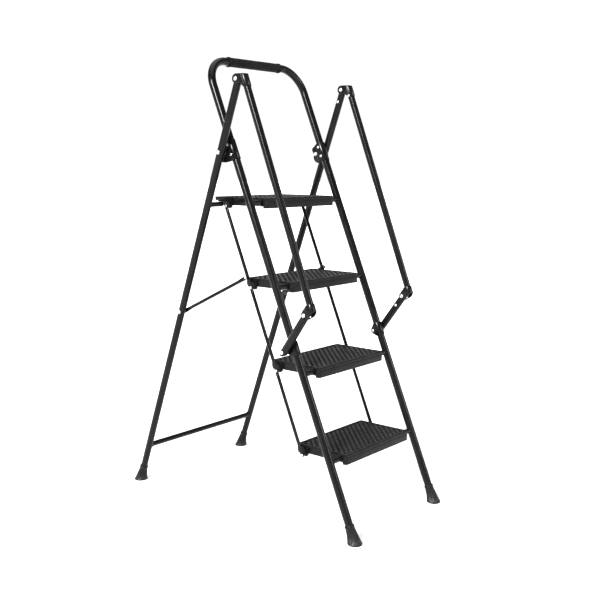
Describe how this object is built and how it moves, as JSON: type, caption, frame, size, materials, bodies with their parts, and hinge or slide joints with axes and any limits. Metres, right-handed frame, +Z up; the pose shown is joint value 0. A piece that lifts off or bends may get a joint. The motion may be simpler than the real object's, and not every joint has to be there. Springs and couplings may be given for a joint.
{
  "type": "folding step ladder",
  "caption": "Folding step ladder with ribbed treads, a platform top step, jointed side handrails and a tall padded hoop; the legs, steps and handrails fold together.",
  "frame": {"origin": "on the floor, at the centre of the footprint", "axes": "+X across the width to the climber's right, +Y from the climbing side to the rear legs, +Z up"},
  "size_m": [0.555, 0.9525, 1.4272],
  "materials": {
    "powder_coat": "black powder coat, slightly textured satin",
    "ribbed_plastic": "black moulded plastic, satin",
    "foot_rubber": "black, matte",
    "grip_foam": "black foam, matte",
    "zinc_rivet": "bright zinc plate"
  },
  "bodies": {
    "front_frame": {"front_frame_tube": "powder_coat", "grip_sleeve": "grip_foam", "front_foot_left": "foot_rubber", "front_foot_right": "foot_rubber", "hinge_bracket_left": "powder_coat", "hinge_bracket_right": "powder_coat", "hinge_rivet_left": "zinc_rivet", "hinge_rivet_right": "zinc_rivet", "link_bracket_left": "powder_coat", "link_bracket_right": "powder_coat", "link_rivet_left": "zinc_rivet", "link_rivet_right": "zinc_rivet", "step_axle_1": "powder_coat", "step_axle_2": "powder_coat", "step_axle_3": "powder_coat", "step_axle_4": "powder_coat"},
    "rear_frame": {"rear_crossbar": "powder_coat", "rear_leg_left": "powder_coat", "rear_leg_right": "powder_coat", "rear_foot_left": "foot_rubber", "rear_foot_right": "foot_rubber", "platform_rest_left": "powder_coat", "platform_rest_right": "powder_coat", "brace_leg_rivet_left": "zinc_rivet", "brace_leg_rivet_right": "zinc_rivet", "apex_rivet_left": "zinc_rivet", "apex_rivet_right": "zinc_rivet"},
    "step_1": {"step_tray_1": "powder_coat", "step_mat_1": "ribbed_plastic", "rod_rivet_1_left": "zinc_rivet", "rod_rivet_1_right": "zinc_rivet"},
    "step_2": {"step_tray_2": "powder_coat", "step_mat_2": "ribbed_plastic", "rod_rivet_2_left": "zinc_rivet", "rod_rivet_2_right": "zinc_rivet"},
    "step_3": {"step_tray_3": "powder_coat", "step_mat_3": "ribbed_plastic", "rod_rivet_3_left": "zinc_rivet", "rod_rivet_3_right": "zinc_rivet"},
    "step_4": {"step_tray_4": "powder_coat", "step_mat_4": "ribbed_plastic", "rod_rivet_4_left": "zinc_rivet", "rod_rivet_4_right": "zinc_rivet"},
    "link_rods": {"step_link_rod_left": "powder_coat", "step_link_rod_right": "powder_coat"},
    "braces": {"brace_left": "powder_coat", "brace_right": "powder_coat", "brace_end_rivet_left": "zinc_rivet", "brace_end_rivet_right": "zinc_rivet"},
    "handrails": {"handrail_tube_left": "powder_coat", "handrail_tube_right": "powder_coat", "handrail_top_bracket_left": "powder_coat", "handrail_top_bracket_right": "powder_coat", "handrail_elbow_bracket_left": "powder_coat", "handrail_elbow_bracket_right": "powder_coat"},
    "elbow_links": {"link_bar_left": "powder_coat", "link_bar_right": "powder_coat", "elbow_rivet_left": "zinc_rivet", "elbow_rivet_right": "zinc_rivet"}
  },
  "joints": [
    {"name": "fold", "type": "hinge", "parent": "front_frame", "child": "rear_frame", "pos_m": [0, 0.04296, 1.12928], "axis": [-1, 0, 0], "range_deg": [0, 41]},
    {"name": "step_1_tilt", "type": "hinge", "parent": "front_frame", "child": "step_1", "pos_m": [0, -0.04304, 0.9781], "axis": [1, 0, 0], "range_deg": [0, 63.5]},
    {"name": "step_2_tilt", "type": "hinge", "parent": "front_frame", "child": "step_2", "pos_m": [0, -0.14813, 0.7281], "axis": [1, 0, 0], "range_deg": [0, 63.5]},
    {"name": "step_3_tilt", "type": "hinge", "parent": "front_frame", "child": "step_3", "pos_m": [0, -0.25322, 0.4781], "axis": [1, 0, 0], "range_deg": [0, 63.5]},
    {"name": "step_4_tilt", "type": "hinge", "parent": "front_frame", "child": "step_4", "pos_m": [0, -0.35832, 0.2281], "axis": [1, 0, 0], "range_deg": [0, 63.5]},
    {"name": "link_rod_pivot", "type": "hinge", "parent": "step_2", "child": "link_rods", "pos_m": [0, -0.01577, 0.7146], "axis": [-1, 0, 0], "range_deg": [0, 63.5]},
    {"name": "handrail_pivot", "type": "hinge", "parent": "rear_frame", "child": "handrails", "pos_m": [0, -0.03417, 1.34118], "axis": [1, 0, 0], "range_deg": [0, 35.2]},
    {"name": "elbow_link_pivot", "type": "hinge", "parent": "front_frame", "child": "elbow_links", "pos_m": [0, -0.20708, 0.54556], "axis": [-1, 0, 0], "range_deg": [0, 36.9]},
    {"name": "brace_pivot", "type": "hinge", "parent": "rear_frame", "child": "braces", "pos_m": [0, 0.22782, 0.62138], "axis": [-1, 0, 0], "range_deg": [0, 39.9]}
  ],
  "couplings": [
    {"joint": "step_1_tilt", "follows": "fold", "ratio": 1.5473},
    {"joint": "step_2_tilt", "follows": "fold", "ratio": 1.5473},
    {"joint": "step_3_tilt", "follows": "fold", "ratio": 1.5473},
    {"joint": "step_4_tilt", "follows": "fold", "ratio": 1.5473},
    {"joint": "link_rod_pivot", "follows": "fold", "ratio": 1.5473},
    {"joint": "handrail_pivot", "follows": "fold", "ratio": 0.858},
    {"joint": "elbow_link_pivot", "follows": "fold", "ratio": 0.8983},
    {"joint": "brace_pivot", "follows": "fold", "ratio": 0.9724}
  ]
}
